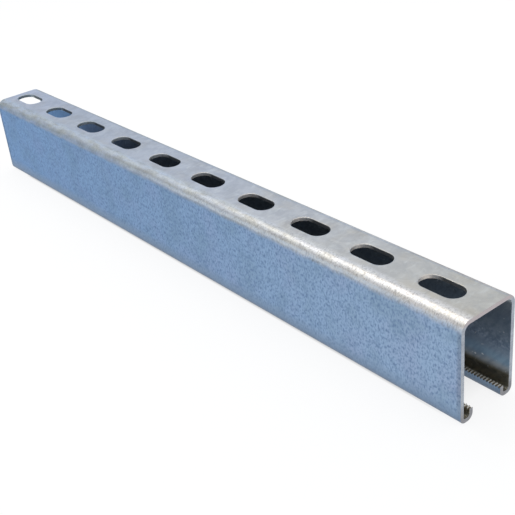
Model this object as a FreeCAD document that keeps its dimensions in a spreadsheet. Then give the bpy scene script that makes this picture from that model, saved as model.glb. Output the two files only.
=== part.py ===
import FreeCAD, Part
import math
import os

import Sketcher

# Slotted strut channel of the deep section, a piece cut from long stock.
# One galvanised steel strip, punched with slots and roll formed into a C whose flanges end in
# in-turned lips with serrated rims. X runs along the piece, Y across it and Z up. The slotted
# web is on top, as the piece lies, and it rests on the bends of its two lips. The origin is on
# the ground under the middle of the piece. All sizes are in millimetres.

NAME = "strut_channel"

# The sizes that can be set by themselves: name, value, meaning
SIZES = (
    ("length", 500.0, "length that the piece was cut to"),
    ("width", 41.0, "outside width over the two flanges"),
    ("height", 62.0, "outside height from the lips to the web"),
    ("thickness", 2.5, "thickness of the strip"),
    ("web_bend", 4.0, "inside radius of the bends between the web and the flanges"),
    ("lip_bend", 1.5, "inside radius of the bends of the lips"),
    ("lip_flat", 1.5, "flat of the return between its two bends"),
    ("lip_rise", 3.0, "straight part of the lip above its bend"),
    ("slot_width", 14.0, "width of a slot, twice the radius of its ends"),
    ("slot_straight", 14.0, "straight sides of a slot, between its round ends"),
    ("slot_pitch", 50.0, "from the centre of one slot to the next"),
    ("first_slot", 30.0, "from the +X cut end to the centre of the first slot"),
    ("end_room", 20.0, "least distance from the last centre to the -X cut end"),
    ("tooth_pitch", 2.0, "from one notch of a serrated rim to the next"),
    ("notch_depth", 0.9, "depth of a notch"),
    ("notch_mouth", 1.5, "width of a notch at the rim"),
    ("notch_root", 0.4, "width of a notch at its bottom"),
)

# What follows from them: name, formula, meaning
DERIVED = (
    ("outer_web_bend", "=web_bend + thickness", "outside radius of the web's bends"),
    ("outer_lip_bend", "=lip_bend + thickness", "outside radius of the lips' bends"),
    ("lip_gap", "=lip_flat + 2 * lip_bend", "space between a flange and its lip"),
    ("rim_level", "=outer_lip_bend + lip_rise", "height of the serrated rims"),
    ("comb_width", "=width - 2 * thickness - lip_gap", "both lips, to the middle of each gap"),
    ("slot_count", "=floor((length - first_slot - end_room) / slot_pitch) + 1", "slots in the web"),
    ("notch_count", "=floor(length / tooth_pitch)", "notches along a rim"),
)

LINE_ENDS = (1, 2)
CENTRE = 3
X_AXIS = -1
Y_AXIS = -2
ORIGIN = (-1, 1)


def fill_sheet(sheet):
    """Write the sizes into the sheet, one row each, with their names as aliases."""
    for row, (alias, value, meaning) in enumerate(SIZES + DERIVED, start=1):
        sheet.set(f"A{row}", meaning)
        sheet.set(f"B{row}", str(value))
        sheet.setAlias(f"B{row}", alias)


def origin_feature(body, role):
    """The plane or axis of the body's own origin with that role."""
    return next(item for item in body.Origin.OriginFeatures if item.Role == role)


def new_sketch(body, name, plane):
    """An empty sketch of the body on one of its origin planes."""
    sketch = body.newObject("Sketcher::SketchObject", name)
    sketch.AttachmentSupport = [(origin_feature(body, plane), "")]
    sketch.MapMode = "FlatFace"
    return sketch


def add_line(sketch, start, end):
    """A level or upright line, returned with the ends in the order that it is walked."""
    index = sketch.addGeometry(Part.LineSegment(FreeCAD.Vector(*start), FreeCAD.Vector(*end)), False)
    level = abs(end[1] - start[1]) < abs(end[0] - start[0])
    sketch.addConstraint(Sketcher.Constraint("Horizontal" if level else "Vertical", index))
    return index, LINE_ENDS


def add_arc(sketch, centre, radius, quarter, turns=1, clockwise=False):
    """An arc of some quarter turns from that quarter on, with its ends as it is walked."""
    circle = Part.Circle(FreeCAD.Vector(*centre), FreeCAD.Vector(0, 0, 1), radius)
    first = quarter * math.pi / 2
    last = (quarter + turns) * math.pi / 2
    index = sketch.addGeometry(Part.ArcOfCircle(circle, first, last), False)
    return index, (2, 1) if clockwise else (1, 2)


def join_round(sketch, edges):
    """Join each edge to the next, smoothly where one of the two is an arc."""
    for (one, one_ends), (two, two_ends) in zip(edges, edges[1:] + edges[:1]):
        kinds = {sketch.Geometry[one].TypeId, sketch.Geometry[two].TypeId}
        kind = "Tangent" if len(kinds) > 1 else "Coincident"
        sketch.addConstraint(Sketcher.Constraint(kind, one, one_ends[1], two, two_ends[0]))


def set_size(sketch, name, formula, kind, *places):
    """A dimension of the sketch that follows a formula of the sheet."""
    value = float(sketch.evalExpression(formula))
    index = sketch.addConstraint(Sketcher.Constraint(kind, *places, value))
    sketch.renameConstraint(index, name)
    sketch.setExpression(f"Constraints.{name}", formula)


def draw_section(sketch, sheet):
    """Half of the rolled section, from the middle of the web round to the serrated rim."""
    half = sheet.width / 2
    inner = sheet.lip_bend
    outer = sheet.outer_lip_bend
    wall = sheet.thickness
    heel = half - outer
    toe = heel - sheet.lip_flat
    crown = half - sheet.outer_web_bend
    shoulder = sheet.height - sheet.outer_web_bend

    web = add_line(sketch, (0, sheet.height), (crown, sheet.height))
    corner = add_arc(sketch, (crown, shoulder), sheet.outer_web_bend, 0, clockwise=True)
    flange = add_line(sketch, (half, shoulder), (half, outer))
    heel_bend = add_arc(sketch, (heel, outer), outer, 3, clockwise=True)
    foot = add_line(sketch, (heel, 0), (toe, 0))
    toe_bend = add_arc(sketch, (toe, outer), outer, 2, clockwise=True)
    lip = add_line(sketch, (toe - outer, outer), (toe - outer, sheet.rim_level))
    rim = add_line(sketch, (toe - outer, sheet.rim_level), (toe - inner, sheet.rim_level))
    lip_back = add_line(sketch, (toe - inner, sheet.rim_level), (toe - inner, outer))
    toe_inside = add_arc(sketch, (toe, outer), inner, 2)
    foot_inside = add_line(sketch, (toe, wall), (heel, wall))
    heel_inside = add_arc(sketch, (heel, outer), inner, 3)
    flange_inside = add_line(sketch, (half - wall, outer), (half - wall, shoulder))
    corner_inside = add_arc(sketch, (crown, shoulder), sheet.web_bend, 0)
    web_inside = add_line(sketch, (crown, sheet.height - wall), (0, sheet.height - wall))
    middle = add_line(sketch, (0, sheet.height - wall), (0, sheet.height))

    join_round(sketch, [
        web, corner, flange, heel_bend, foot, toe_bend, lip, rim, lip_back, toe_inside,
        foot_inside, heel_inside, flange_inside, corner_inside, web_inside, middle,
    ])
    for outside, inside in ((corner, corner_inside), (heel_bend, heel_inside), (toe_bend, toe_inside)):
        sketch.addConstraint(Sketcher.Constraint("Coincident", outside[0], CENTRE, inside[0], CENTRE))
    sketch.addConstraint(Sketcher.Constraint("Equal", heel_bend[0], toe_bend[0]))
    sketch.addConstraint(Sketcher.Constraint("PointOnObject", web[0], 1, Y_AXIS))
    sketch.addConstraint(Sketcher.Constraint("PointOnObject", foot[0], 1, X_AXIS))

    set_size(sketch, "half_width", "sizes.width / 2", "DistanceX", *ORIGIN, flange[0], 1)
    set_size(sketch, "height", "sizes.height", "DistanceY", *ORIGIN, web[0], 1)
    set_size(sketch, "wall", "sizes.thickness", "DistanceY", middle[0], 1, middle[0], 2)
    set_size(sketch, "web_bend", "sizes.web_bend", "Radius", corner_inside[0])
    set_size(sketch, "lip_bend", "sizes.lip_bend", "Radius", heel_inside[0])
    set_size(sketch, "flat", "sizes.lip_flat", "DistanceX", foot[0], 2, foot[0], 1)
    set_size(sketch, "rise", "sizes.lip_rise", "DistanceY", lip[0], 1, lip[0], 2)


def draw_slot(sketch, sheet):
    """The first slot, with round ends, seen from above the web."""
    radius = sheet.slot_width / 2
    reach = sheet.slot_straight / 2
    centre = sheet.length / 2 - sheet.first_slot

    near_side = add_line(sketch, (centre - reach, -radius), (centre + reach, -radius))
    front = add_arc(sketch, (centre + reach, 0), radius, 3, turns=2)
    far_side = add_line(sketch, (centre + reach, radius), (centre - reach, radius))
    back = add_arc(sketch, (centre - reach, 0), radius, 1, turns=2)
    join_round(sketch, [near_side, front, far_side, back])
    sketch.addConstraint(Sketcher.Constraint("PointOnObject", front[0], CENTRE, X_AXIS))
    set_size(sketch, "end_radius", "sizes.slot_width / 2", "Radius", front[0])
    set_size(sketch, "straight", "sizes.slot_straight", "DistanceX", back[0], CENTRE, front[0], CENTRE)
    set_size(sketch, "place", "sizes.length / 2 - sizes.first_slot + sizes.slot_straight / 2",
             "DistanceX", *ORIGIN, front[0], CENTRE)


def make_channel(document, sheet):
    """The rolled and punched channel, before its rims are serrated."""
    body = document.addObject("PartDesign::Body", "punched_channel")

    # Half of the section, drawn out along X and mirrored
    section = new_sketch(body, "section", "YZ_Plane")
    draw_section(section, sheet)
    half = body.newObject("PartDesign::Pad", "half_channel")
    half.Profile = section
    half.Midplane = True
    half.setExpression("Length", "sizes.length")
    document.recompute()
    channel = body.newObject("PartDesign::Mirrored", "whole_channel")
    channel.Originals = [half]
    channel.MirrorPlane = (origin_feature(body, "XZ_Plane"), [""])
    channel.Refine = True
    body.Tip = channel
    document.recompute()

    # The slots, punched down through the web alone, in a row from the +X end
    first_slot = new_sketch(body, "first_slot", "XY_Plane")
    first_slot.setExpression("AttachmentOffset.Base.z", "sizes.height")
    draw_slot(first_slot, sheet)
    punched = body.newObject("PartDesign::Pocket", "punched_slot")
    punched.Profile = first_slot
    punched.setExpression("Length", "2 * sizes.thickness")
    document.recompute()
    row = body.newObject("PartDesign::LinearPattern", "slot_row")
    row.Originals = [punched]
    row.Direction = (origin_feature(body, "X_Axis"), [""])
    row.Reversed = True
    row.setExpression("Length", "sizes.slot_pitch * (sizes.slot_count - 1)")
    row.setExpression("Occurrences", "sizes.slot_count")
    body.Tip = row
    document.recompute()
    if row.Shape.Volume >= channel.Shape.Volume:
        raise RuntimeError("the slots cut nothing")
    return body


def make_comb(document, sheet):
    """The teeth of the tool that notches both rims at once, as one long solid across them.

    Seen from the side it is a bar over the rims, with one tapered tooth for each notch. It ends
    in the middle of the gap behind each lip, so that it leaves the flanges whole.
    """
    rim = sheet.rim_level
    back = rim + sheet.notch_depth
    end = sheet.length / 2 + sheet.tooth_pitch
    outline = [(end, rim), (end, back), (-end, back), (-end, rim)]
    centre = (sheet.length - sheet.tooth_pitch) / 2 - sheet.tooth_pitch * (sheet.notch_count - 1)
    for _ in range(int(sheet.notch_count)):
        outline += [
            (centre - sheet.notch_mouth / 2, rim),
            (centre - sheet.notch_root / 2, rim - sheet.notch_depth),
            (centre + sheet.notch_root / 2, rim - sheet.notch_depth),
            (centre + sheet.notch_mouth / 2, rim),
        ]
        centre += sheet.tooth_pitch
    side = -sheet.comb_width / 2
    corners = [FreeCAD.Vector(along, side, level) for along, level in outline]
    face = Part.Face(Part.makePolygon(corners + corners[:1]))
    comb = document.addObject("Part::Feature", "rim_comb")
    comb.Shape = face.extrude(FreeCAD.Vector(0, sheet.comb_width, 0))
    return comb


def make_part(document, sheet):
    """The whole channel: the punched one less the notches of its rims."""
    part = document.addObject("Part::Cut", NAME)
    part.Label = NAME
    part.Base = make_channel(document, sheet)
    part.Tool = make_comb(document, sheet)
    part.Placement = FreeCAD.Placement()
    document.recompute()
    if part.Shape.Volume >= part.Base.Shape.Volume:
        raise RuntimeError("the comb cut nothing")
    return part


def check(document, part):
    """Stop where an object has failed or the part isn't one sound solid."""
    failed = [item.Name for item in document.Objects if {"Invalid", "Error"} & set(item.State)]
    if failed:
        raise RuntimeError("failed objects: " + ", ".join(failed))
    if part.Shape.isNull() or not part.Shape.isValid() or len(part.Shape.Solids) != 1:
        raise RuntimeError(part.Label + " is not one sound solid")


def main():
    """Build the channel and write its solid."""
    document = FreeCAD.newDocument(NAME)
    sheet = document.addObject("Spreadsheet::Sheet", "sizes")
    fill_sheet(sheet)
    document.recompute()
    part = make_part(document, sheet)
    check(document, part)
    os.makedirs("parts", exist_ok=True)
    part.Shape.exportStep(f"parts/{part.Label}.step")
    print(f"{part.Label}: {part.Shape.Volume:.0f} mm3, {len(part.Shape.Faces)} faces, {part.Shape.BoundBox}")


main()
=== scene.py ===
"""Looks of a slotted strut channel: one piece of pre-galvanised, roll-formed steel.

The piece lies on its two lips with the slotted web on top. X runs along it, Y across and Z up.
Sizes are in millimetres and become metres only where a mesh, a pattern or a lamp is placed.
"""
import logging
import math
from dataclasses import dataclass, field
from enum import Enum

import bmesh
import bpy
from mathutils import Matrix, Vector


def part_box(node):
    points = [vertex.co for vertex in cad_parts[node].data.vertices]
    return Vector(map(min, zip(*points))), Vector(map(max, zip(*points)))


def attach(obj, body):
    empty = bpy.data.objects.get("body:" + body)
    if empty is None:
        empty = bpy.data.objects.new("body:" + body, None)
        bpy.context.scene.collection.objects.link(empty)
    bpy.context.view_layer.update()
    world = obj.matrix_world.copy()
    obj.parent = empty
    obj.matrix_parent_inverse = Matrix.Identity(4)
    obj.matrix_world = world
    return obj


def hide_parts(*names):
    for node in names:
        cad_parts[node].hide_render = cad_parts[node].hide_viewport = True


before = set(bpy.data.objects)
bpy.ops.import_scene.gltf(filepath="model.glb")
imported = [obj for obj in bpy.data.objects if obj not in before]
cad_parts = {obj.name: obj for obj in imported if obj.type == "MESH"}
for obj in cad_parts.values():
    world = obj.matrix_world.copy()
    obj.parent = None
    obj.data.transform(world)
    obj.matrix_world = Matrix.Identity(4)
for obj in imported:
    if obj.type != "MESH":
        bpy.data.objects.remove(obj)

MM = 0.001
NODE = "strut_channel"

# Tolerances in millimetres: for a level, for a place and for the wall of the strip
LEVEL_TOLERANCE = 1e-4
PLACE_TOLERANCE = 1e-3
WALL_TOLERANCE = 1e-2

Node = bpy.types.Node
Socket = bpy.types.NodeSocket
Tree = bpy.types.NodeTree
# What limits a share: a socket that is one already, or a socket and the values between which it runs
Limit = Socket | tuple

log = logging.getLogger("strut_channel")


def linear(colour: str) -> tuple[float, float, float, float]:
    """Turn an sRGB hex colour into the linear values that a shader takes.

    Args:
        colour: six hex digits with a leading #.

    Returns:
        Linear red, green and blue, and an alpha of 1.
    """
    channels = [int(colour[i:i + 2], 16) / 255 for i in (1, 3, 5)]
    values = [c / 12.92 if c <= 0.04045 else ((c + 0.055) / 1.055) ** 2.4 for c in channels]
    return (*values, 1.0)


def per_metre(size_mm: float) -> float:
    """Scale of a pattern on coordinates in metres whose features have that size in millimetres."""
    return 1.0 / (size_mm * MM)


def add_node(tree: Tree, kind: str, links: dict | None = None, stops: tuple = (),
             **settings: object) -> Node:
    """Add a shader node with its settings and links.

    Args:
        tree: the node tree that gets the node.
        kind: the node's type, without its ShaderNode.
        links: input name or number, to an output socket or a value for it.
        stops: position and sRGB hex colour of each stop of a colour ramp, in order.
        **settings: properties of the node itself.

    Returns:
        The new node.
    """
    node = tree.nodes.new("ShaderNode" + kind)
    for name, value in settings.items():
        setattr(node, name, value)
    for name, value in (links or {}).items():
        if isinstance(value, Socket):
            tree.links.new(value, node.inputs[name])
        else:
            node.inputs[name].default_value = value
    for index, (position, colour) in enumerate(stops):
        elements = node.color_ramp.elements
        element = elements[index] if index < 2 else elements.new(position)
        element.position = position
        element.color = linear(colour)
    return node


def share_of(tree: Tree, *limits: Limit) -> Socket:
    """Work out how strongly something shows: the product of its limits.

    Args:
        tree: the node tree that gets the nodes.
        *limits: each a socket that is a share already, or a socket with the two values between
            which its share goes from 0 to 1, or from one given share to another.

    Returns:
        The share's socket.
    """
    share = None
    for limit in limits:
        part = limit
        if isinstance(limit, tuple):
            value, start, end, low, high = (*limit, 0.0, 1.0)[:5]
            part = add_node(tree, "MapRange", {
                "Value": value, "From Min": start, "From Max": end,
                "To Min": low, "To Max": high}).outputs[0]
        if share is None:
            share = part
        else:
            share = add_node(tree, "Math", {0: share, 1: part}, operation="MULTIPLY").outputs[0]
    return share


class Coat:
    """The colour of a surface, built up tone over tone."""

    def __init__(self, tree: Tree, ground: Socket | str) -> None:
        """Start from the ground.

        Args:
            tree: the node tree that gets the nodes.
            ground: its colour, a socket or sRGB hex.
        """
        self.tree = tree
        self.colour = linear(ground) if isinstance(ground, str) else ground

    def lay(self, tone: Socket | str, *limits: Limit, mode: str = "MIX") -> None:
        """Lay a tone over the colour.

        Args:
            tone: the tone, a socket or sRGB hex.
            *limits: where it shows, as share_of takes them.
            mode: how it mixes with what is below.
        """
        tone = linear(tone) if isinstance(tone, str) else tone
        links = {0: share_of(self.tree, *limits), 6: self.colour, 7: tone}
        self.colour = add_node(self.tree, "Mix", links, data_type="RGBA", blend_type=mode).outputs[2]

    def tint(self, tone: Socket | str, *limits: Limit) -> None:
        """Tint the colour with a thin film of a tone, which takes what lay takes."""
        self.lay(tone, *limits, mode="MULTIPLY")


@dataclass
class Blank:
    """A material that is empty but for its shader, and what its patterns and limits read.

    Patterns read the place, in metres. Limits read x, y and z, in millimetres.
    """

    material: bpy.types.Material
    tree: Tree
    shader: Node
    place: Socket
    x: Socket
    y: Socket
    z: Socket


def new_material(name: str) -> Blank:
    """Make a node material that is empty but for its shader and output.

    Args:
        name: the material's name.

    Returns:
        The material with its shader and its coordinates.
    """
    material = bpy.data.materials.new(name)
    material.use_nodes = True
    tree = material.node_tree
    tree.nodes.clear()
    shader = add_node(tree, "BsdfPrincipled")
    add_node(tree, "OutputMaterial", {"Surface": shader.outputs["BSDF"]})
    place = add_node(tree, "TexCoord").outputs["Object"]
    in_mm = add_node(tree, "VectorMath", {0: place, "Scale": per_metre(1.0)}, operation="SCALE")
    parts = add_node(tree, "SeparateXYZ", {0: in_mm.outputs[0]}).outputs
    return Blank(material, tree, shader, place, parts["X"], parts["Y"], parts["Z"])


class Face(Enum):
    """The finishes of the channel's faces, in the order of its material slots."""

    OUTSIDE = 0
    INSIDE = 1
    CUT_END = 2
    PUNCHED = 3
    RIM = 4


@dataclass(frozen=True)
class Finish:
    """A finish of the strip. Each kind gives it a colour, a roughness and a relief of its own."""

    name: str

    def make(self) -> bpy.types.Material:
        """Build the material.

        Returns:
            The finished material.
        """
        blank = new_material(self.name)
        self._dress(blank)
        blank.shader.inputs["Metallic"].default_value = 1.0
        return blank.material

    def _dress(self, blank: Blank) -> None:
        """Give the blank material its colour, roughness and relief."""
        raise NotImplementedError


@dataclass(frozen=True)
class RolledZinc(Finish):
    """Hot-dip zinc coat on the outside of the strip, after the rolls.

    The flanges show cool blue-grey with small upright dark flecks of the fine spangle; their blue
    is partly the zinc's own tint and partly a painted reflection. The bends carry a painted
    highlight, strongest towards the +X end, are crazed across and carry a second, fainter painted
    highlight below it, and the web is a plain pale grey with faint stains.
    """

    name: str = "pre_galvanised_zinc_outside"
    height: float = 62.0
    bend: float = 6.5
    half_length: float = 250.0
    fleck: float = 1.2
    speck: float = 3.6
    streak: float = 0.95
    stain: float = 11.0
    smear: float = 3.2
    cloud: float = 26.0
    rub: float = 4.0
    wander: float = 9.0
    relief: float = 0.1
    # Where each band of colour sets in: below the web, above the floor or out from the middle
    bend_depth: tuple[float, float] = (0.02, 0.3)
    flange_depth: tuple[float, float] = (4.6, 6.6)
    low_side_level: tuple[float, float] = (12.0, 5.0)
    low_bend_level: tuple[float, float] = (5.0, 2.0)
    low_share: float = 0.85
    lip_across: tuple[float, float] = (14.0, 12.0)
    lip_level: tuple[float, float] = (20.0, 10.0)
    low_highlight_level: tuple[float, float, float, float] = (60.1, 59.3, 58.5, 57.6)
    back_across: tuple[float, float] = (14.2, 17.3)
    back_edge_across: tuple[float, float] = (16.6, 18.0)
    back_end_across: tuple[float, float] = (14.8, 16.4)
    # The flange's blue is partly the zinc's own tint and partly a painted reflection of blue surroundings
    flange: str = "#96AFCB"
    flange_lilac: str = "#98ABC8"
    flange_green: str = "#8CA5BD"
    fleck_dark: str = "#738BAB"
    speck_dark: str = "#5E7A9A"
    painted_far_lighting: str = "#BEDDF5"
    by_the_cut: str = "#E4E0DE"
    web_near: str = "#D5D2CA"
    web_far: str = "#CACDD3"
    web_end: str = "#D0D3DD"
    web_stain: str = "#EBECEE"
    web_warm: str = "#FBF6EE"
    smear_bright: str = "#F0F2EE"
    painted_back_shade: str = "#DAD4CC"
    painted_back_edge_shade: str = "#EAE4E0"
    painted_low_highlight: str = "#E8E4DC"
    craze_dark: str = "#A5A19B"
    craze_bright: str = "#F2EEDF"
    rub_warm: str = "#FFFCF2"
    rub_dull: str = "#E2DFDA"
    painted_low_side_shade: str = "#7C92AB"
    painted_low_bend_shade: str = "#6D7B90"
    lip_dull: str = "#DADAD8"
    # Tones up the bend by height: the zinc's own tones with a painted highlight, strong near the +X end and
    # faint far from it
    tones_and_highlight_near: tuple[tuple[float, str], ...] = (
        (55.0, "#A3B1C8"), (56.2, "#A8B6CC"), (57.1, "#B2BFD2"), (57.9, "#C6CDD4"), (58.7, "#EBE4DE"),
        (59.5, "#F2E9E0"), (60.2, "#EDE8E4"), (60.8, "#F9F9FA"), (61.3, "#F8F7F8"), (61.9, "#F3F1F1"))
    tones_and_highlight_far: tuple[tuple[float, str], ...] = (
        (55.0, "#8AA2BC"), (56.2, "#92A7C0"), (57.1, "#9CABC0"), (57.9, "#A8B3C6"), (58.7, "#B4B9BE"),
        (59.5, "#C2C4C5"), (60.2, "#C9CBCD"), (60.8, "#CED3D9"), (61.3, "#D0D9E4"), (61.9, "#D0D8E3"))
    roughness: float = 0.42

    def _dress(self, blank: Blank) -> None:
        """Lay the web's colour, then the bends', the flanges' and the lips' below it.

        Args:
            blank: the material.
        """
        top = self.height
        flecks = self._flecks(blank)
        streaks = self._streaks(blank)
        level = self._ragged_level(blank, streaks)
        bend = self._bend_colour_and_highlight(blank, level, streaks)
        coat = self._web_coat(blank, bend)
        coat.lay(bend, (level, *(top - depth for depth in self.bend_depth)))
        self._paint_back_shade(blank, coat)
        coat.lay(self._flange_colour(blank, flecks), (level, *(top - depth for depth in self.flange_depth)))
        # Painted shade: the flange darkens towards the floor, most on its lower bend
        coat.lay(self.painted_low_side_shade, (level, *self.low_side_level, 0.0, self.low_share))
        coat.lay(self.painted_low_bend_shade, (level, *self.low_bend_level, 0.0, self.low_share))
        across = add_node(blank.tree, "Math", {0: blank.y}, operation="ABSOLUTE").outputs[0]
        coat.tint(self.lip_dull, (across, *self.lip_across), (level, *self.lip_level))
        blank.tree.links.new(coat.colour, blank.shader.inputs["Base Color"])
        self._surface(blank, flecks, streaks, level)

    def _flecks(self, blank: Blank) -> Socket:
        """Small flecks of the spangle, drawn out a little upright.

        Args:
            blank: the material.

        Returns:
            The pattern's socket.
        """
        upright = add_node(blank.tree, "Mapping", {"Vector": blank.place, "Scale": (1, 1, 0.62)})
        return add_node(blank.tree, "TexNoise", {
            "Vector": upright.outputs["Vector"], "Scale": per_metre(self.fleck), "Detail": 2.0,
            "Roughness": 0.5, "Distortion": 0.25}).outputs["Fac"]

    def _streaks(self, blank: Blank) -> Socket:
        """Fine crazing across the bends.

        Args:
            blank: the material.

        Returns:
            The pattern's socket.
        """
        across = add_node(blank.tree, "Mapping", {
            "Vector": blank.place, "Scale": (1, 0.6, 0.6), "Rotation": (0, 0.3, 0.3)})
        return add_node(blank.tree, "TexNoise", {
            "Vector": across.outputs["Vector"], "Scale": per_metre(self.streak), "Detail": 3.0,
            "Roughness": 0.65, "Distortion": 0.3}).outputs["Fac"]

    def _ragged_level(self, blank: Blank, streaks: Socket) -> Socket:
        """Height whose bands have ragged edges below the bend.

        Args:
            blank: the material.
            streaks: the crazing.

        Returns:
            The height's socket, in millimetres.
        """
        tree = blank.tree
        wander = add_node(tree, "TexNoise", {
            "Vector": blank.place, "Scale": per_metre(self.wander), "Detail": 3.0}).outputs["Fac"]
        both = add_node(tree, "Math", {0: wander, 1: streaks}, operation="ADD").outputs[0]
        shift = share_of(tree, (both, 0.7, 1.3, -0.7, 0.7),
                         (blank.z, self.height - 0.5, self.height - self.bend))
        return add_node(tree, "Math", {0: blank.z, 1: shift}, operation="ADD").outputs[0]

    def _bend_colour_and_highlight(self, blank: Blank, level: Socket, streaks: Socket) -> Socket:
        """Tones round the upper bends, with a painted highlight that grows towards the +X end, and the
        crazing.

        Args:
            blank: the material.
            level: the ragged height.
            streaks: the crazing.

        Returns:
            The colour's socket.
        """
        tree = blank.tree
        half = self.half_length
        low = self.tones_and_highlight_near[0][0]
        span = self.height - low
        rise = share_of(tree, (level, low, self.height))
        far, near = (add_node(tree, "ValToRGB", {"Fac": rise},
                              tuple(((z - low) / span, tone) for z, tone in tones))
                     for tones in (self.tones_and_highlight_far, self.tones_and_highlight_near))
        rolled = add_node(tree, "Mapping", {"Vector": blank.place, "Scale": (0.35, 1, 1)}).outputs["Vector"]
        noise = add_node(tree, "TexNoise", {"Vector": rolled, "Scale": per_metre(self.rub), "Detail": 2.0})
        rubs = add_node(tree, "SeparateColor", {0: noise.outputs["Color"]}).outputs
        along = share_of(tree, (blank.x, -0.05 * half, 0.94 * half))
        crazed = (along, 0.0, 0.6, 0.3, 0.6)
        coat = Coat(tree, far.outputs["Color"])
        # Painted highlight: towards the +X end the bend takes the near-white tones
        coat.lay(near.outputs["Color"], along)
        coat.tint(self.rub_warm, (rubs[0], 0.38, 0.62), (along, 0.3, 1.0, 1.0, 0.45))
        coat.tint(self.rub_dull, (rubs[1], 0.44, 0.66), (along, 0.0, 1.0, 0.75, 0.35))
        coat.tint(self.craze_dark, (streaks, 0.46, 0.68), crazed)
        coat.lay(self.craze_bright, (streaks, 0.42, 0.28), crazed)
        # Painted highlight: a second, broken pale line lower on the bend, faint towards the ends
        top, full_top, full_foot, foot = self.low_highlight_level
        coat.lay(self.painted_low_highlight, (streaks, 0.65, 0.4, 0.35, 1.0), (level, top, full_top),
                 (level, foot, full_foot), (blank.x, 0.9 * half, 0.72 * half),
                 (blank.x, -0.4 * half, 0.1 * half))
        return coat.colour

    def _web_coat(self, blank: Blank, bend: Socket) -> Coat:
        """Plain pale grey with faint stains and smears, which runs raggedly into the -Y bend.

        Args:
            blank: the material.
            bend: colour of the bend's top.

        Returns:
            The coat, for the rest of the colours.
        """
        tree = blank.tree
        half = self.half_length
        stains = add_node(tree, "TexNoise", {
            "Vector": blank.place, "Scale": per_metre(self.stain), "Detail": 5.0, "Roughness": 0.6,
            "Distortion": 0.8}).outputs["Fac"]
        warm = add_node(tree, "TexNoise", {
            "Vector": blank.place, "Scale": per_metre(1.7 * self.stain), "Detail": 3.0}).outputs["Fac"]
        slanted = add_node(tree, "Mapping", {
            "Vector": blank.place, "Scale": (1, 0.5, 1), "Rotation": (0, 0, 0.9)}).outputs["Vector"]
        smears = add_node(tree, "TexNoise", {
            "Vector": slanted, "Scale": per_metre(self.smear), "Detail": 4.0,
            "Distortion": 0.5}).outputs["Fac"]
        coat = Coat(tree, self.web_far)
        coat.lay(self.web_near, (blank.x, 0.1 * half, 0.95 * half))
        coat.lay(self.web_end, (blank.x, -0.62 * half, -0.95 * half))
        coat.tint(self.web_stain, (stains, 0.42, 0.66))
        coat.tint(self.web_warm, (warm, 0.5, 0.7, 0.0, 0.8))
        coat.lay(self.smear_bright, (smears, 0.52, 0.74), (blank.x, -0.8 * half, 0.2 * half, 0.15, 0.35))
        # Painted highlight: the bend's colour, highlight and all, reaches raggedly onto the web's -Y edge
        edge = share_of(tree, (blank.y, -9.5, -14.2))
        ragged = add_node(tree, "Math", {0: stains, 1: edge}, operation="ADD").outputs[0]
        coat.lay(bend, (ragged, 0.6, 1.4))
        return coat

    def _paint_back_shade(self, blank: Blank, coat: Coat) -> None:
        """Darken the +Y bend with painted shade, most on its outer edge towards +X.

        Args:
            blank: the material.
            coat: colour of the web and the bends.
        """
        half = self.half_length
        # Painted shade on the +Y bend, and more on its outer edge towards +X
        coat.tint(self.painted_back_shade, (blank.y, *self.back_across))
        coat.tint(self.painted_back_edge_shade, (blank.y, *self.back_edge_across), (blank.x, 0.1 * half, 0.4 * half))
        coat.tint(self.painted_back_edge_shade, (blank.y, *self.back_end_across), (blank.x, 0.64 * half, 0.8 * half))

    def _flange_colour(self, blank: Blank, flecks: Socket) -> Socket:
        """Blue-grey with slow lilac and green shifts, dark flecks and a few specks. The blue is partly the
        zinc's own tint and partly a painted reflection, and a painted reflection makes it darker and bluer
        towards -X.

        Args:
            blank: the material.
            flecks: the fleck pattern.

        Returns:
            The colour's socket.
        """
        tree = blank.tree
        half = self.half_length
        clouds = add_node(tree, "TexNoise", {
            "Vector": blank.place, "Scale": per_metre(self.cloud), "Detail": 3.0}).outputs["Color"]
        shifts = add_node(tree, "SeparateColor", {0: clouds}).outputs
        specks = add_node(tree, "TexNoise", {
            "Vector": blank.place, "Scale": per_metre(self.speck), "Detail": 1.0}).outputs["Fac"]
        distance = add_node(tree, "Math", {0: blank.x}, operation="ABSOLUTE").outputs[0]
        coat = Coat(tree, self.flange)
        coat.lay(self.flange_lilac, (shifts[0], 0.45, 0.68))
        coat.lay(self.flange_green, (shifts[1], 0.48, 0.68))
        coat.lay(self.fleck_dark, (flecks, 0.47, 0.68), (blank.x, -half, 0.0, 0.6, 1.0))
        coat.lay(self.speck_dark, (specks, 0.52, 0.80, 0.0, 0.45))
        # Painted reflection: the flange turns darker and bluer towards the -X end
        coat.tint(self.painted_far_lighting, (blank.x, half, -half))
        coat.tint(self.by_the_cut, (distance, half - 3.5, half - 1.5))
        return coat.colour

    def _surface(self, blank: Blank, flecks: Socket, streaks: Socket, level: Socket) -> None:
        """Set the roughness and the relief.

        Args:
            blank: the material.
            flecks: the fleck pattern, felt on the flanges.
            streaks: the crazing, felt on the bends.
            level: the ragged height.
        """
        tree = blank.tree
        top = self.height
        rough = share_of(tree, (flecks, 0.35, 0.65, self.roughness - 0.04, self.roughness + 0.08))
        craze = share_of(tree, streaks, (level, top - 0.05, top - 0.6), (level, top - 8.0, top - 4.0))
        fine = add_node(tree, "Bump", {"Height": flecks, "Strength": 0.2, "Distance": self.relief * MM})
        coarse = add_node(tree, "Bump", {
            "Height": craze, "Strength": 0.3, "Distance": self.relief * MM, "Normal": fine.outputs["Normal"]})
        tree.links.new(rough, blank.shader.inputs["Roughness"])
        tree.links.new(coarse.outputs["Normal"], blank.shader.inputs["Normal"])


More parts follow.
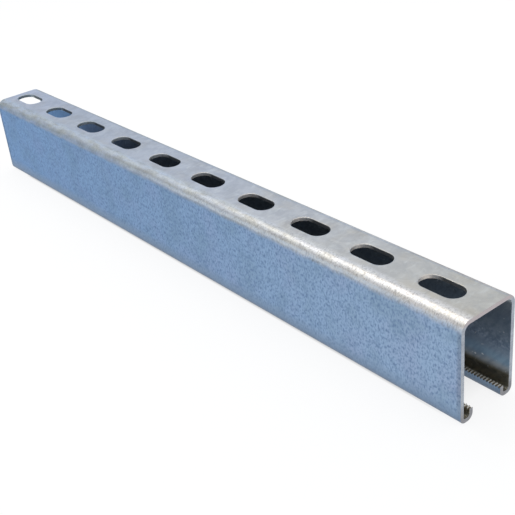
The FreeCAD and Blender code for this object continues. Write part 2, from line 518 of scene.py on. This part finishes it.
@dataclass(frozen=True)
class InsideZinc(Finish):
    """The same zinc on the inside, which no roll rubbed: duller, patchy and a little soiled.

    Painted shade darkens most of the wall, most of all in the corner behind each lip, and
    painted light keeps the strip just over the lips paler.
    """

    name: str = "pre_galvanised_zinc_inside"
    half_length: float = 250.0
    grain: float = 1.6
    patch_size: float = 12.0
    wipe: float = 2.6
    speck_size: float = 2.2
    relief: float = 0.1
    # The painted shade inside sets in this far from the cut end, and between these levels
    deep_inside: tuple[float, float] = (7.0, 19.0)
    deep_under: tuple[float, float] = (38.0, 26.0)
    deep_over: tuple[float, float] = (11.0, 16.0)
    zinc: str = "#A2B2C5"
    patch: str = "#74869B"
    speck: str = "#E4E8EC"
    wiped: str = "#E8EBEF"
    deep: str = "#DCDEE2"
    painted_far_lighting: str = "#98D0FF"
    bands: tuple[tuple[float, float, float, str], ...] = (
        (30.0, 38.0, 0.8, "#8B9AA9"), (46.0, 56.0, 0.6, "#C8CCCC"), (28.0, 25.0, 0.85, "#8193A6"),
        (24.0, 20.0, 0.8, "#839EB3"), (18.0, 14.0, 0.8, "#989CA0"), (13.5, 10.5, 0.9, "#76705F"),
        (9.6, 8.2, 0.8, "#C2BCAC"))
    roughness: float = 0.45

    def _dress(self, blank: Blank) -> None:
        """Lay the patchy zinc, the painted light and shade up the wall, the wipes, the painted shade deep
        inside, the specks and the painted blue light from the -X end.

        Args:
            blank: the material.
        """
        tree = blank.tree
        half = self.half_length
        grain = add_node(tree, "TexNoise", {
            "Vector": blank.place, "Scale": per_metre(self.grain), "Detail": 3.0}).outputs["Fac"]
        patches = add_node(tree, "TexNoise", {
            "Vector": blank.place, "Scale": per_metre(self.patch_size), "Detail": 4.0,
            "Distortion": 0.6}).outputs["Fac"]
        slanted = add_node(tree, "Mapping", {
            "Vector": blank.place, "Scale": (1, 1, 3), "Rotation": (0, 0.7, 0)}, vector_type="TEXTURE")
        wipes = add_node(tree, "TexNoise", {
            "Vector": slanted.outputs["Vector"], "Scale": per_metre(self.wipe),
            "Detail": 3.0}).outputs["Fac"]
        specks = add_node(tree, "TexNoise", {
            "Vector": blank.place, "Scale": per_metre(self.speck_size), "Detail": 1.0}).outputs["Fac"]
        both = add_node(tree, "Math", {0: grain, 1: patches}, operation="ADD").outputs[0]
        shift = share_of(tree, (patches, 0.3, 0.7, -1.2, 1.2))
        level = add_node(tree, "Math", {0: blank.z, 1: shift}, operation="ADD").outputs[0]
        coat = Coat(tree, self.zinc)
        coat.lay(self.patch, (both, 0.82, 1.2))
        # Painted light and shade up the wall: a dark brown band in the shaded corner behind each lip, a pale
        # strip just over the lips
        for start, end, share, tone in self.bands:
            coat.lay(tone, (level, start, end, 0.0, share))
        coat.tint(self.wiped, (wipes, 0.42, 0.62))
        # Painted shade on the mid-wall, all along but for the +X end
        coat.tint(self.deep, (blank.x, *(half - depth for depth in self.deep_inside)),
                  (blank.z, *self.deep_under), (blank.z, *self.deep_over))
        coat.lay(self.speck, (specks, 0.70, 0.78, 0.0, 0.5))
        # Painted light: bluer light from the open -X end
        coat.tint(self.painted_far_lighting, (blank.x, -0.25 * half, -0.8 * half))
        bump = add_node(tree, "Bump", {"Height": grain, "Strength": 0.3, "Distance": self.relief * MM})
        tree.links.new(coat.colour, blank.shader.inputs["Base Color"])
        tree.links.new(bump.outputs["Normal"], blank.shader.inputs["Normal"])
        blank.shader.inputs["Roughness"].default_value = self.roughness


@dataclass(frozen=True)
class BareSteel(Finish):
    """Steel bared by a tool: sawn, sheared or pressed, with a fine grain along the cut.

    It is warmer and brighter than the zinc, with slow patches where zinc was dragged over it.
    """

    steel: str
    dragged_zinc: str
    grain: float
    grain_direction: tuple[float, float, float]
    roughness: float
    depth: float = 0.05
    patch_size: float = 6.0

    def _dress(self, blank: Blank) -> None:
        """Lay the steel, the dragged zinc and each kind's further tones, painted shade among them for the
        slot walls.

        Args:
            blank: the material.
        """
        tree = blank.tree
        along = add_node(tree, "Mapping", {"Vector": blank.place, "Scale": self.grain_direction})
        grain = add_node(tree, "TexNoise", {
            "Vector": along.outputs["Vector"], "Scale": per_metre(self.grain), "Detail": 3.0}).outputs["Fac"]
        patches = add_node(tree, "TexNoise", {
            "Vector": blank.place, "Scale": per_metre(self.patch_size), "Detail": 4.0}).outputs["Fac"]
        both = add_node(tree, "Math", {0: grain, 1: patches}, operation="ADD").outputs[0]
        coat = Coat(tree, self.steel)
        coat.lay(self.dragged_zinc, (both, 0.8, 1.25))
        self._tone_and_shade(blank, coat)
        bump = add_node(tree, "Bump", {"Height": grain, "Strength": 0.4, "Distance": self.depth * MM})
        tree.links.new(coat.colour, blank.shader.inputs["Base Color"])
        tree.links.new(bump.outputs["Normal"], blank.shader.inputs["Normal"])
        blank.shader.inputs["Roughness"].default_value = self.roughness

    def _tone_and_shade(self, blank: Blank, coat: Coat) -> None:
        """Lay each kind's further tones over the steel's coat; for the slot walls these are painted shade."""
        raise NotImplementedError


@dataclass(frozen=True)
class SawnEnd(BareSteel):
    """Sawn ends: a blue-grey cut with fine saw grain, warmer along the web and duller on the lips."""

    dull_from: tuple[float, float] = (12.0, 5.0)
    dull: str = "#DCD5D0"
    warm_from: tuple[float, float] = (58.5, 60.0)
    warm: str = "#BEB2B1"

    def _tone_and_shade(self, blank: Blank, coat: Coat) -> None:
        """Dull the lips and warm the web."""
        coat.tint(self.dull, (blank.z, *self.dull_from))
        coat.lay(self.warm, (blank.z, *self.warm_from, 0.0, 0.8))


@dataclass(frozen=True)
class SlotWall(BareSteel):
    """Sheared wall of the slots: pale steel as painted light at the -X round of each slot, painted shade
    along the rest.

    The walls of the slots turn darker and bluer towards the -X end.
    """

    pitch: float = 50.0
    slot_start: float = -246.0
    lit_round: tuple[float, float] = (7.0, 11.0)
    far_wall_along: tuple[float, float] = (60.0, -180.0)
    painted_wall_shade: str = "#888C90"
    far_wall_tint: str = "#D4E4F0"

    def _tone_and_shade(self, blank: Blank, coat: Coat) -> None:
        """Paint shade on the wall past the lit round of each slot, and tint the far slots darker and bluer
        all round.

        Args:
            blank: the material.
            coat: colour of the clean steel.
        """
        turns = add_node(blank.tree, "Math", {
            0: blank.x, 1: 1.0 / self.pitch, 2: -self.slot_start / self.pitch}, operation="MULTIPLY_ADD")
        turn = add_node(blank.tree, "Math", {0: turns.outputs[0]}, operation="FRACT").outputs[0]
        start, end = (size / self.pitch for size in self.lit_round)
        # Painted shade along each slot's wall past its lit round at -X
        coat.tint(self.painted_wall_shade, (turn, start, end))
        coat.tint(self.far_wall_tint, (blank.x, *self.far_wall_along))


@dataclass(frozen=True)
class PressedTeeth(BareSteel):
    """Serrated rims of the lips: pale steel, darker in the notches."""

    crest: float = 6.95
    root: float = 6.3
    notch_tone: str = "#8A8070"

    def _tone_and_shade(self, blank: Blank, coat: Coat) -> None:
        """Darken the notches."""
        coat.tint(self.notch_tone, (blank.z, self.crest, self.root))


@dataclass
class StrutChannel:
    """The rolled strip: section, punched slots, serrated rims, cut ends and their finishes."""

    length: float
    width: float
    height: float
    thickness: float = 2.5
    web_bend: float = 4.0
    lip_bend: float = 1.5
    lip_flat: float = 1.5
    lip_rise: float = 3.0
    slot_width: float = 14.0
    slot_straight: float = 14.0
    slot_pitch: float = 50.0
    slot_count: int = 10
    first_slot: float = 30.0
    slot_border: float = 1.0
    tooth_pitch: float = 2.0
    notch_depth: float = 0.9
    notch_mouth: float = 1.5
    notch_root: float = 0.4
    bend_steps: int = 10
    slot_steps: int = 14
    edge_round: float = 0.15
    sharp_angle: float = 40.0
    # A face belongs to a slot's wall within this reach of the slot and below this depth
    wall_reach: float = 0.3
    wall_depth: float = 0.1
    # How much wider than the slot each ring of its wall is, and how deep under the web
    roll_over: tuple[tuple[float, float], ...] = ((0.35, 0.0), (0.14, 0.07), (0.03, 0.2), (0.0, 0.4),
                                                  (0.0, 1.0), (0.10, 1.3), (0.16, 2.5))
    finishes: list[Finish] = field(default_factory=list)

    @property
    def lip_inset(self) -> float:
        """From the outside of a flange to the face of its lip."""
        return 2 * (self.lip_bend + self.thickness) + self.lip_flat

    @property
    def lip_place(self) -> float:
        """From the middle of the channel to the face of a lip."""
        return self.width / 2 - self.lip_inset

    @property
    def mouth_radius(self) -> float:
        """Radius of the rolled-over mouth of a slot at its ends."""
        return self.slot_width / 2 + self.roll_over[0][0]

    @property
    def rim_level(self) -> float:
        """Height of the serrated rims."""
        return self.lip_bend + self.thickness + self.lip_rise

    @property
    def first_slot_x(self) -> float:
        """Place along X of the slot nearest to the +X end."""
        return self.length / 2 - self.first_slot

    @property
    def slot_centres(self) -> list[float]:
        """Places of the slots along X, from the +X end on."""
        return [self.first_slot_x - number * self.slot_pitch for number in range(self.slot_count)]

    def build(self) -> bpy.types.Object:
        """Model the whole strip.

        Returns:
            The finished object, at the origin, with its place in its mesh.
        """
        bm = bmesh.new()
        self._roll_section(bm)
        self._punch_web(bm)
        self._serrate_rims(bm)
        self._give_wall(bm)
        self._shape_slot_walls(bm)
        self._sort_faces(bm)
        self._break_edges(bm)
        bmesh.ops.scale(bm, vec=(MM, MM, MM), verts=bm.verts)
        mesh = bpy.data.meshes.new("channel_strip")
        bm.to_mesh(mesh)
        bm.free()
        strip = bpy.data.objects.new("channel_strip", mesh)
        bpy.context.scene.collection.objects.link(strip)
        return strip

    def _roll_section(self, bm: bmesh.types.BMesh) -> None:
        """Bend the outline of the section and draw it out along X, one tooth pitch a step.

        Args:
            bm: the empty mesh, in millimetres.
        """
        half = self.width / 2
        lip = self.lip_place
        start = -self.length / 2
        corners = [(lip, self.rim_level), (lip, 0), (half, 0), (half, self.height)]
        outline = [(-y, z) for y, z in corners] + corners[::-1]
        points = [bm.verts.new((start, y, z)) for y, z in outline]
        for one, two in zip(points, points[1:]):
            bm.edges.new((one, two))
        upper = [point for point in points if point.co.z > self.height / 2]
        lower = [point for point in points[1:-1] if point.co.z < self.height / 2]
        for bends, inside in ((upper, self.web_bend), (lower, self.lip_bend)):
            bmesh.ops.bevel(bm, geom=bends, offset=inside + self.thickness, offset_type="OFFSET",
                            segments=self.bend_steps, profile=0.5, affect="VERTICES", material=-1)
        steps = round(self.length / self.tooth_pitch)
        bmesh.ops.spin(bm, geom=bm.verts[:] + bm.edges[:], axis=(1, 0, 0), cent=(0, 0, 0),
                       dvec=(self.length / steps, 0, 0), angle=0, steps=steps, use_duplicate=False)
        bmesh.ops.recalc_face_normals(bm, faces=bm.faces)
        top = max(bm.faces, key=lambda face: face.calc_center_median().z)
        if top.normal.z < 0:
            bmesh.ops.reverse_faces(bm, faces=bm.faces)

    def _punch_web(self, bm: bmesh.types.BMesh) -> None:
        """Replace the plain flat of the web with one that has the slots in it.

        Args:
            bm: the rolled outside surface.
        """
        level = self.height - LEVEL_TOLERANCE
        flat = [face for face in bm.faces if all(vert.co.z > level for vert in face.verts)]
        around = [edge for face in flat for edge in face.edges]
        bmesh.ops.delete(bm, geom=flat, context="FACES_KEEP_BOUNDARY")
        border = [edge for edge in dict.fromkeys(around) if edge.is_valid and len(edge.link_faces) < 2]
        outer = self.slot_width / 2 + self.slot_border
        rings = []
        for centre in self.slot_centres:
            rings += self._slot_ring(bm, centre, outer)
        bmesh.ops.triangle_fill(bm, use_beauty=True, use_dissolve=False, edges=border + rings,
                                normal=(0, 0, 1))
        for centre in self.slot_centres:
            inner = [edge for edge in rings if abs(edge.verts[0].co.x - centre) < self.slot_pitch / 2]
            made = bmesh.ops.extrude_edge_only(bm, edges=inner)["geom"]
            verts = [item for item in made if isinstance(item, bmesh.types.BMVert)]
            self._resize_ring(bm, verts, centre, outer, self.mouth_radius)

    def _slot_ring(self, bm: bmesh.types.BMesh, centre: float, radius: float) -> list[bmesh.types.BMEdge]:
        """Draw the outline of a slot on the web.

        Args:
            bm: the mesh that gets the outline.
            centre: place of the slot along X.
            radius: radius of its ends.

        Returns:
            The edges of the closed outline.
        """
        made = bmesh.ops.create_grid(bm, x_segments=1, y_segments=1, size=1.0)["verts"]
        bmesh.ops.scale(bm, vec=(self.slot_straight / 2 + radius, radius, 1), verts=made)
        bmesh.ops.translate(bm, vec=(centre, 0, self.height), verts=made)
        bevelled = bmesh.ops.bevel(bm, geom=made, offset=radius, offset_type="OFFSET", profile=0.5,
                                   segments=self.slot_steps, affect="VERTICES", material=-1)
        verts = [vert for vert in bevelled["verts"] if vert.is_valid]
        bmesh.ops.remove_doubles(bm, verts=verts, dist=0.01)
        verts = [vert for vert in verts if vert.is_valid]
        faces = list(dict.fromkeys(face for vert in verts for face in vert.link_faces))
        bmesh.ops.delete(bm, geom=faces, context="FACES_KEEP_BOUNDARY")
        return list(dict.fromkeys(edge for vert in verts for edge in vert.link_edges))

    def _resize_ring(self, bm: bmesh.types.BMesh, verts: list[bmesh.types.BMVert], centre: float,
                     radius: float, wanted: float) -> None:
        """Give an outline of a slot another radius, round the centres of its two ends.

        Args:
            bm: the mesh.
            verts: the outline's points.
            centre: place of the slot along X.
            radius: radius that the ends have.
            wanted: radius that they get.
        """
        factor = wanted / radius
        for side in (-1, 1):
            pivot = Vector((centre + side * self.slot_straight / 2, 0, 0))
            end = [vert for vert in verts if (vert.co.x - centre) * side > 0]
            bmesh.ops.scale(bm, vec=(factor, factor, 1), verts=end, space=Matrix.Translation(-pivot))

    def _serrate_rims(self, bm: bmesh.types.BMesh) -> None:
        """Press a notch into each step of both rims.

        Args:
            bm: the outside surface, with a rim edge for each tooth.
        """
        level = self.rim_level - LEVEL_TOLERANCE
        rims = [edge for edge in bm.edges if len(edge.link_faces) == 1
                and all(vert.co.z > level and abs(abs(vert.co.y) - self.lip_place) < PLACE_TOLERANCE
                        for vert in edge.verts)]
        made = bmesh.ops.subdivide_edges(bm, edges=rims, cuts=4)["geom_inner"]
        crest = (self.tooth_pitch - self.notch_mouth) / 2
        root = (self.tooth_pitch - self.notch_root) / 2
        for vert in (item for item in made if isinstance(item, bmesh.types.BMVert)):
            phase = (vert.co.x + self.length / 2) % self.tooth_pitch
            middle = vert.co.x - phase + self.tooth_pitch / 2
            side = 1 if phase > self.tooth_pitch / 2 else -1
            on_crest = abs(phase - self.tooth_pitch / 2) > self.tooth_pitch / 5
            vert.co.x = middle + side * (self.tooth_pitch / 2 - (crest if on_crest else root))
            if not on_crest:
                vert.co.z -= self.notch_depth

    def _give_wall(self, bm: bmesh.types.BMesh) -> None:
        """Give the sheet its thickness, inwards.

        Args:
            bm: the outside surface.
        """
        bmesh.ops.solidify(bm, geom=bm.faces[:], thickness=self.thickness)
        bmesh.ops.recalc_face_normals(bm, faces=bm.faces)

    def _shape_slot_walls(self, bm: bmesh.types.BMesh) -> None:
        """Give each slot its rolled-over mouth, its sheared band and its wider torn band.

        Args:
            bm: the closed strip.
        """
        floor = self.height - self.thickness - PLACE_TOLERANCE
        walls = [edge for edge in bm.edges if abs(edge.verts[0].co.y) < self.slot_width / 2 + self.slot_border
                 and abs(edge.verts[0].co.z - edge.verts[1].co.z) > self.thickness - WALL_TOLERANCE
                 and edge.verts[0].co.z > floor and edge.verts[1].co.z > floor]
        levels = len(self.roll_over) - 1
        made = bmesh.ops.subdivide_edges(bm, edges=walls, cuts=levels - 1)["geom_inner"]
        verts = dict.fromkeys(item for item in made if isinstance(item, bmesh.types.BMVert))
        for edge in bm.edges:
            if edge.verts[0] in verts or edge.verts[1] in verts:
                verts.update(dict.fromkeys(edge.verts))
        rows = {}
        for vert in verts:
            number = round((self.first_slot_x - vert.co.x) / self.slot_pitch)
            level = round((self.height - vert.co.z) / self.thickness * levels)
            rows.setdefault((number, level), []).append(vert)
        for (number, level), row in rows.items():
            wider, depth = self.roll_over[level]
            centre = self.slot_centres[number]
            self._resize_ring(bm, row, centre, self.mouth_radius, self.slot_width / 2 + wider)
            for vert in row:
                vert.co.z = self.height - depth

    def _sort_faces(self, bm: bmesh.types.BMesh) -> None:
        """Give each face the number of its finish.

        Args:
            bm: the closed strip.
        """
        for face in bm.faces:
            face.material_index = self._finish_of(face).value

    def _finish_of(self, face: bmesh.types.BMFace) -> Face:
        """Tell a face's finish from its place.

        Args:
            face: a face of the closed strip, in millimetres.

        Returns:
            The finish that it gets.
        """
        centre = face.calc_center_median()
        across = abs(centre.y)
        lip = self.lip_place
        depth = self.height - centre.z
        if abs(centre.x) > self.length / 2 - PLACE_TOLERANCE:
            return Face.CUT_END
        if (lip + PLACE_TOLERANCE < across < lip + self.thickness - PLACE_TOLERANCE
                and -PLACE_TOLERANCE < self.rim_level - centre.z < self.notch_depth + PLACE_TOLERANCE):
            return Face.RIM
        if (across < self.slot_width / 2 + self.wall_reach
                and self.wall_depth < depth < self.thickness - PLACE_TOLERANCE):
            return Face.PUNCHED
        within = (across < self.width / 2 - self.thickness + WALL_TOLERANCE
                  and min(centre.z, depth) > self.thickness - WALL_TOLERANCE)
        clear_of_lips = (centre.z > self.rim_level + WALL_TOLERANCE
                         or across > lip + self.thickness - WALL_TOLERANCE)
        return Face.INSIDE if within and clear_of_lips else Face.OUTSIDE

    def _break_edges(self, bm: bmesh.types.BMesh) -> None:
        """Round off every sharp edge a little, as handling and the zinc leave it.

        Args:
            bm: the closed strip.
        """
        limit = math.radians(self.sharp_angle)
        sharp = [edge for edge in bm.edges if edge.calc_face_angle(0) > limit]
        bmesh.ops.bevel(bm, geom=sharp, offset=self.edge_round, offset_type="OFFSET", segments=2,
                        profile=0.5, affect="EDGES", material=-1, clamp_overlap=True)
        for face in bm.faces:
            face.smooth = True

    def dress(self, strip: bpy.types.Object) -> None:
        """Give the strip its finishes, its even shading and its place in the frame.

        Args:
            strip: the finished object.
        """
        for finish in self.finishes:
            strip.data.materials.append(finish.make())
        even = strip.modifiers.new("even_shading", "WEIGHTED_NORMAL")
        even.mode = "FACE_AREA"
        even.keep_sharp = True
        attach(strip, "root")
        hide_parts(NODE)


@dataclass
class Studio:
    """A white floor, pale air, a big soft lamp overhead and the camera."""

    location: tuple[float, float, float] = (498.467, -319.714, 323.475)
    aim: tuple[float, float, float] = (80.539, -11.31, 31.0)
    roll: float = -6.26
    lens: float = 67.037
    sensor: float = 36.0
    lamp_place: tuple[float, float, float] = (-240.0, 70.0, 780.0)
    lamp_side: float = 500.0
    lamp_watts: float = 1.25
    lamp_colour: str = "#FFFAF4"
    floor_side: float = 12000.0
    floor_colour: str = "#767676"
    floor_glow: float = 0.86
    shade_glow: float = 0.11
    shade: tuple[tuple[str, float, float], ...] = (("x", 40.0, 240.0), ("x", -188.0, -226.0),
                                                   ("y", 12.0, 20.0), ("y", -12.0, -20.0))
    air: tuple[tuple[float, str], ...] = ((0.0, "#D4E0F0"), (0.2, "#BCD6F8"), (0.35, "#C4DAF8"),
                                          (0.58, "#D2D3D4"), (0.8, "#E4E2DE"))
    seen_air: str = "#FFFFFF"

    def set_up(self) -> None:
        """Make the floor, the lights and the camera."""
        self._lay_floor()
        self._light_air()
        self._hang_lamp()
        self._place_camera()

    def _lay_floor(self) -> None:
        """Lay the floor: matt white paint whose own glow only the eye and mirrors see."""
        bm = bmesh.new()
        bmesh.ops.create_grid(bm, x_segments=1, y_segments=1, size=self.floor_side / 2 * MM)
        mesh = bpy.data.meshes.new("floor")
        bm.to_mesh(mesh)
        bm.free()
        floor = bpy.data.objects.new("floor", mesh)
        bpy.context.scene.collection.objects.link(floor)
        blank = new_material("matt_white_floor")
        glow = share_of(blank.tree, self._seen(blank.tree), self._open_floor(blank))
        blank.tree.links.new(glow, blank.shader.inputs["Emission Strength"])
        blank.shader.inputs["Emission Color"].default_value = (1.0, 1.0, 1.0, 1.0)
        blank.shader.inputs["Base Color"].default_value = linear(self.floor_colour)
        blank.shader.inputs["Roughness"].default_value = 1.0
        blank.shader.inputs["Specular IOR Level"].default_value = 0.0
        mesh.materials.append(blank.material)

    def _open_floor(self, blank: Blank) -> Socket:
        """The floor's glow, which fades away in the shade under the channel.

        Args:
            blank: the floor's material.

        Returns:
            The glow's socket.
        """
        tree = blank.tree
        lit = 0.0
        for axis, start, end in self.shade:
            side = share_of(tree, (getattr(blank, axis), start, end))
            lit = add_node(tree, "Math", {0: lit, 1: side}, operation="MAXIMUM").outputs[0]
        soft = share_of(tree, lit, lit)
        return share_of(tree, (soft, 0.0, 1.0, self.shade_glow, self.floor_glow))

    def _seen(self, tree: Tree) -> Socket:
        """Tell what the camera, mirrors and clear things see from what only lights.

        Args:
            tree: the node tree that gets the nodes.

        Returns:
            A socket that is 1 for what they see.
        """
        path = add_node(tree, "LightPath").outputs
        shiny = add_node(tree, "Math", {
            0: path["Is Glossy Ray"], 1: path["Is Transmission Ray"]}, operation="MAXIMUM")
        both = add_node(tree, "Math", {0: path["Is Camera Ray"], 1: shiny.outputs[0]}, operation="MAXIMUM")
        return both.outputs[0]

    def _light_air(self) -> None:
        """Give the world its pale gradient, and plain white where the camera sees it."""
        world = bpy.data.worlds.new("pale_air")
        world.use_nodes = True
        tree = world.node_tree
        tree.nodes.clear()
        direction = add_node(tree, "TexCoord").outputs["Generated"]
        level = add_node(tree, "SeparateXYZ", {0: direction}).outputs["Z"]
        air = Coat(tree, add_node(tree, "ValToRGB", {"Fac": level}, self.air).outputs["Color"])
        air.lay(self.seen_air, add_node(tree, "LightPath").outputs["Is Camera Ray"])
        back = add_node(tree, "Background", {"Color": air.colour, "Strength": 1.0})
        add_node(tree, "OutputWorld", {"Surface": back.outputs["Background"]})
        bpy.context.scene.world = world

    def _hang_lamp(self) -> None:
        """Hang a square soft lamp that faces the middle of the channel."""
        data = bpy.data.lights.new("overhead_softbox", "AREA")
        data.shape = "SQUARE"
        data.size = self.lamp_side * MM
        data.energy = self.lamp_watts
        data.color = linear(self.lamp_colour)[:3]
        lamp = bpy.data.objects.new("overhead_softbox", data)
        lamp.location = Vector(self.lamp_place) * MM
        lamp.rotation_euler = (-lamp.location).to_track_quat("-Z", "Y").to_euler()
        bpy.context.scene.collection.objects.link(lamp)

    def _place_camera(self) -> None:
        """Place the camera at the photograph's angle."""
        data = bpy.data.cameras.new("camera")
        data.sensor_width = self.sensor
        data.lens = self.lens
        camera = bpy.data.objects.new("camera", data)
        look = (Vector(self.aim) - Vector(self.location)).to_track_quat("-Z", "Y").to_matrix()
        turn = look @ Matrix.Rotation(math.radians(self.roll), 3, "Z")
        camera.matrix_world = Matrix.Translation(Vector(self.location) * MM) @ turn.to_4x4()
        bpy.context.scene.collection.objects.link(camera)
        bpy.context.scene.camera = camera


def main() -> None:
    """Build the channel and the studio, and report each piece."""
    logging.basicConfig(level=logging.INFO, format="%(message)s")
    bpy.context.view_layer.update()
    low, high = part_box(NODE)
    size = (high - low) / MM
    channel = StrutChannel(length=size.x, width=size.y, height=size.z, finishes=[
        RolledZinc(height=size.z, half_length=size.x / 2),
        InsideZinc(half_length=size.x / 2),
        SawnEnd("sawn_steel_end", "#B6BDC5", "#9A9FA8", 0.5, (1.0, 0.2, 1.0), 0.45),
        # The slot walls' near-white steel is partly painted light
        SlotWall("sheared_steel_wall", "#FFF6EC", "#EEE4D8", 0.35, (1.0, 1.0, 0.15), 0.6),
        PressedTeeth("pressed_steel_teeth", "#FCF6E8", "#E0D8CA", 0.4, (1.0, 0.3, 1.0), 0.6),
    ])
    strip = channel.build()
    channel.dress(strip)
    log.info("channel_strip: %d faces", len(strip.data.polygons))
    Studio().set_up()
    bpy.context.scene.view_settings.view_transform = "Standard"
    bpy.context.view_layer.update()


if __name__ == "__main__":
    main()
